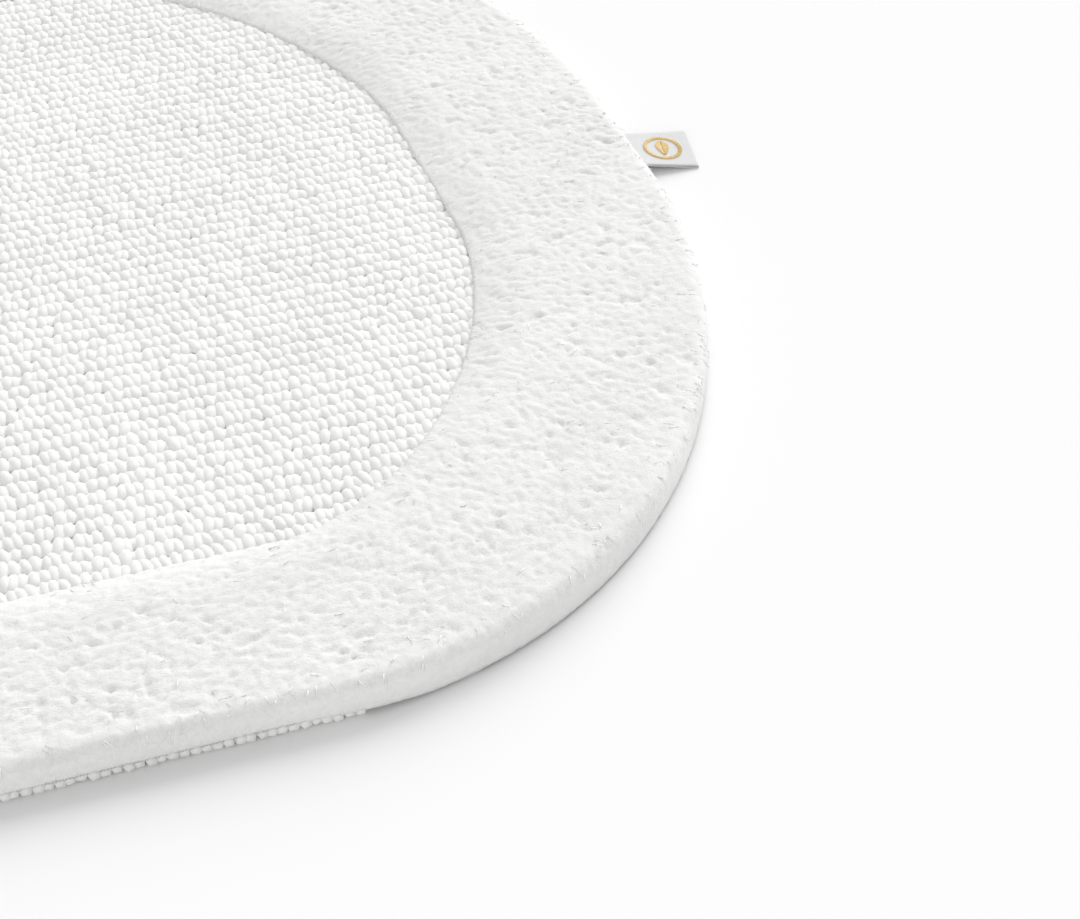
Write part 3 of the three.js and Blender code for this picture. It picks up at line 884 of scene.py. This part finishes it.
# ---- Label seam --------------------------------------------------------------------------------
# One short run of white sewing thread through both plies and the base cloth, hidden in the pile.
def thread_stitches_tree():
    """A round thread along every edge, standing up a little in its middle, as a tight stitch does."""
    inputs = {"Thickness": "Float", "Crown": "Vector", "Sides": "Int", "Material": "Material"}
    tree, given, out = new_tree("Thread stitches", inputs)
    get = given.outputs
    curve = place(tree, "GeometryNodeMeshToCurve", {"Mesh": get["Geometry"]})
    steps = place(tree, "GeometryNodeResampleCurve", {"Curve": curve.outputs[0], "Count": 5}, mode="COUNT")
    share = place(tree, "GeometryNodeSplineParameter").outputs["Factor"]
    turn = maths(tree, "MULTIPLY", share, math.pi)
    arch = maths(tree, "SINE", turn)
    rise = vector_maths(tree, "SCALE", get["Crown"], arch)
    raised = shifted(tree, steps.outputs[0], rise)
    circle = place(
        tree, "GeometryNodeCurvePrimitiveCircle", {"Resolution": get["Sides"], "Radius": get["Thickness"]}
    )
    tube = place(
        tree,
        "GeometryNodeCurveToMesh",
        {"Curve": raised, "Profile Curve": circle.outputs[0], "Fill Caps": True},
    )
    whole = place(tree, "GeometryNodeRealizeInstances", {"Geometry": tube.outputs[0]})
    return give_out(tree, out, whole.outputs[0], get["Material"])


def stitch_lines(name, lines):
    mesh = bpy.data.meshes.new(name)
    points = [tuple(p) for line in lines for p in line]
    mesh.from_pydata(points, [(2 * i, 2 * i + 1) for i in range(len(lines))], [])
    return mesh


thread_stitches = thread_stitches_tree()
seam_low, seam_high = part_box("label_seam")
seam_stitch_count = 9
sewing_thread = cotton_material(
    "Sewing thread", (0.85, 0.85, 0.85, 1), (0.90, 0.90, 0.90, 1), 0.05 * MM, 0.2
)
seam_pitch = (seam_high.y - seam_low.y) / seam_stitch_count
seam_x = (seam_low.x + seam_high.x) / 2
seam_clear = 0.08 * MM
seam_rise = ply_apart_at_bend + ribbon_thickness / 2 + seam_clear
seam_gap = 0.3 * MM
seam_lines = []
for i in range(seam_stitch_count):
    start = seam_low.y - ribbon_middle + i * seam_pitch + seam_gap / 2
    ends = [
        laid(seam_x - bend_at.x, across, seam_rise) for across in (start, start + seam_pitch - seam_gap)
    ]
    seam_lines.append(ends)
seam_sizes = {"Thickness": 0.2 * MM, "Crown": (0, 0, 0.15 * MM), "Sides": 6, "Material": sewing_thread}
seam = grown("label_seam_thread", stitch_lines("seam", seam_lines), thread_stitches, seam_sizes)
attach(seam, "mat")
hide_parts("label_seam")


# ---- Embroidered motif -------------------------------------------------------------------------
# A round gold motif in satin stitch on the free ply: a plain ring with a leaf inside. Each stitch is
# one pass of thread laid close beside the next, across the ring and slanting from the leaf's midrib.
ring_low, ring_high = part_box("motif_ring")
leaf_low, leaf_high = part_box("motif_leaf")
motif_radius = (ring_high.y - ring_low.y) / 2
motif_distance = 14.5 * MM
ring_width = 2.0 * MM
leaf_half_length = (leaf_high.y - leaf_low.y) / 2
leaf_half_width = 2.75 * MM
thread_radius = 0.21 * MM
thread_pitch = 0.36 * MM
ring_turn = 0.035  # every stitch of the ring is this far round from the axis
midrib_half = 0.12 * MM
leaf_slant = 0.55  # a leaf stitch rises this much for each step out
gold = bpy.data.materials.new("Gold thread")
gold.use_nodes = True


def gold_thread_nodes(material):
    tree = material.node_tree
    surface = tree.nodes["Principled BSDF"]
    fibre = place(tree, "ShaderNodeGroup", {"Strand Scale": 900.0}, node_tree=cotton_fibre)
    spread = place(
        tree, "ShaderNodeMapRange", {"Value": fibre.outputs["Tone"], "From Min": 0.35, "From Max": 0.65}
    )
    tint = {"Factor": spread.outputs[0], "A": (0.55, 0.35, 0.08, 1), "B": (0.84, 0.61, 0.23, 1)}
    colour = place(tree, "ShaderNodeMix", tint, data_type="RGBA")
    tree.links.new(colour.outputs["Result"], surface.inputs["Base Color"])
    bumped = place(tree, "ShaderNodeBump", {"Height": fibre.outputs["Height"], "Distance": 0.05 * MM})
    tree.links.new(bumped.outputs[0], surface.inputs["Normal"])
    surface.inputs["Roughness"].default_value = 0.42
    surface.inputs["Sheen Weight"].default_value = 0.3


gold_thread_nodes(gold)


def on_label(x, y):
    """A point on the label's top ply, from the motif's centre: x out along the label, y across it."""
    sunk_share = 0.5  # of a thread, pressed into the ribbon
    out = motif_distance + x
    return laid(out, y, ply_apart(out) + ribbon_thickness / 2 + thread_radius * (1 - sunk_share))


ring_lines = []
ring_count = round(2 * math.pi * (motif_radius - ring_width / 2) / thread_pitch)
for i in range(ring_count):
    angle = 2 * math.pi * i / ring_count
    ends = []
    for radius in (motif_radius - ring_width + thread_radius, motif_radius - thread_radius):
        turned = angle + ring_turn
        ends.append(on_label(radius * math.cos(turned), radius * math.sin(turned)))
    ring_lines.append(ends)

leaf_lines = []
leaf_count = round(2 * leaf_half_length / thread_pitch)
for side in (-1, 1):
    for i in range(1, leaf_count):
        y = -leaf_half_length + 2 * leaf_half_length * i / leaf_count
        reach = leaf_half_width * (1 - (y / leaf_half_length) ** 2)
        tip = min(y + leaf_slant * reach, leaf_half_length)
        leaf_lines.append((on_label(side * midrib_half, y), on_label(side * (midrib_half + reach), tip)))

gold_sizes = {"Thickness": thread_radius, "Crown": (0, 0, 0.16 * MM), "Sides": 5, "Material": gold}
for node, lines in (("motif_ring", ring_lines), ("motif_leaf", leaf_lines)):
    name = node + "_stitches"
    stitched = grown(name, stitch_lines(name, lines), thread_stitches, gold_sizes)
    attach(stitched, "label")
    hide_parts(node)
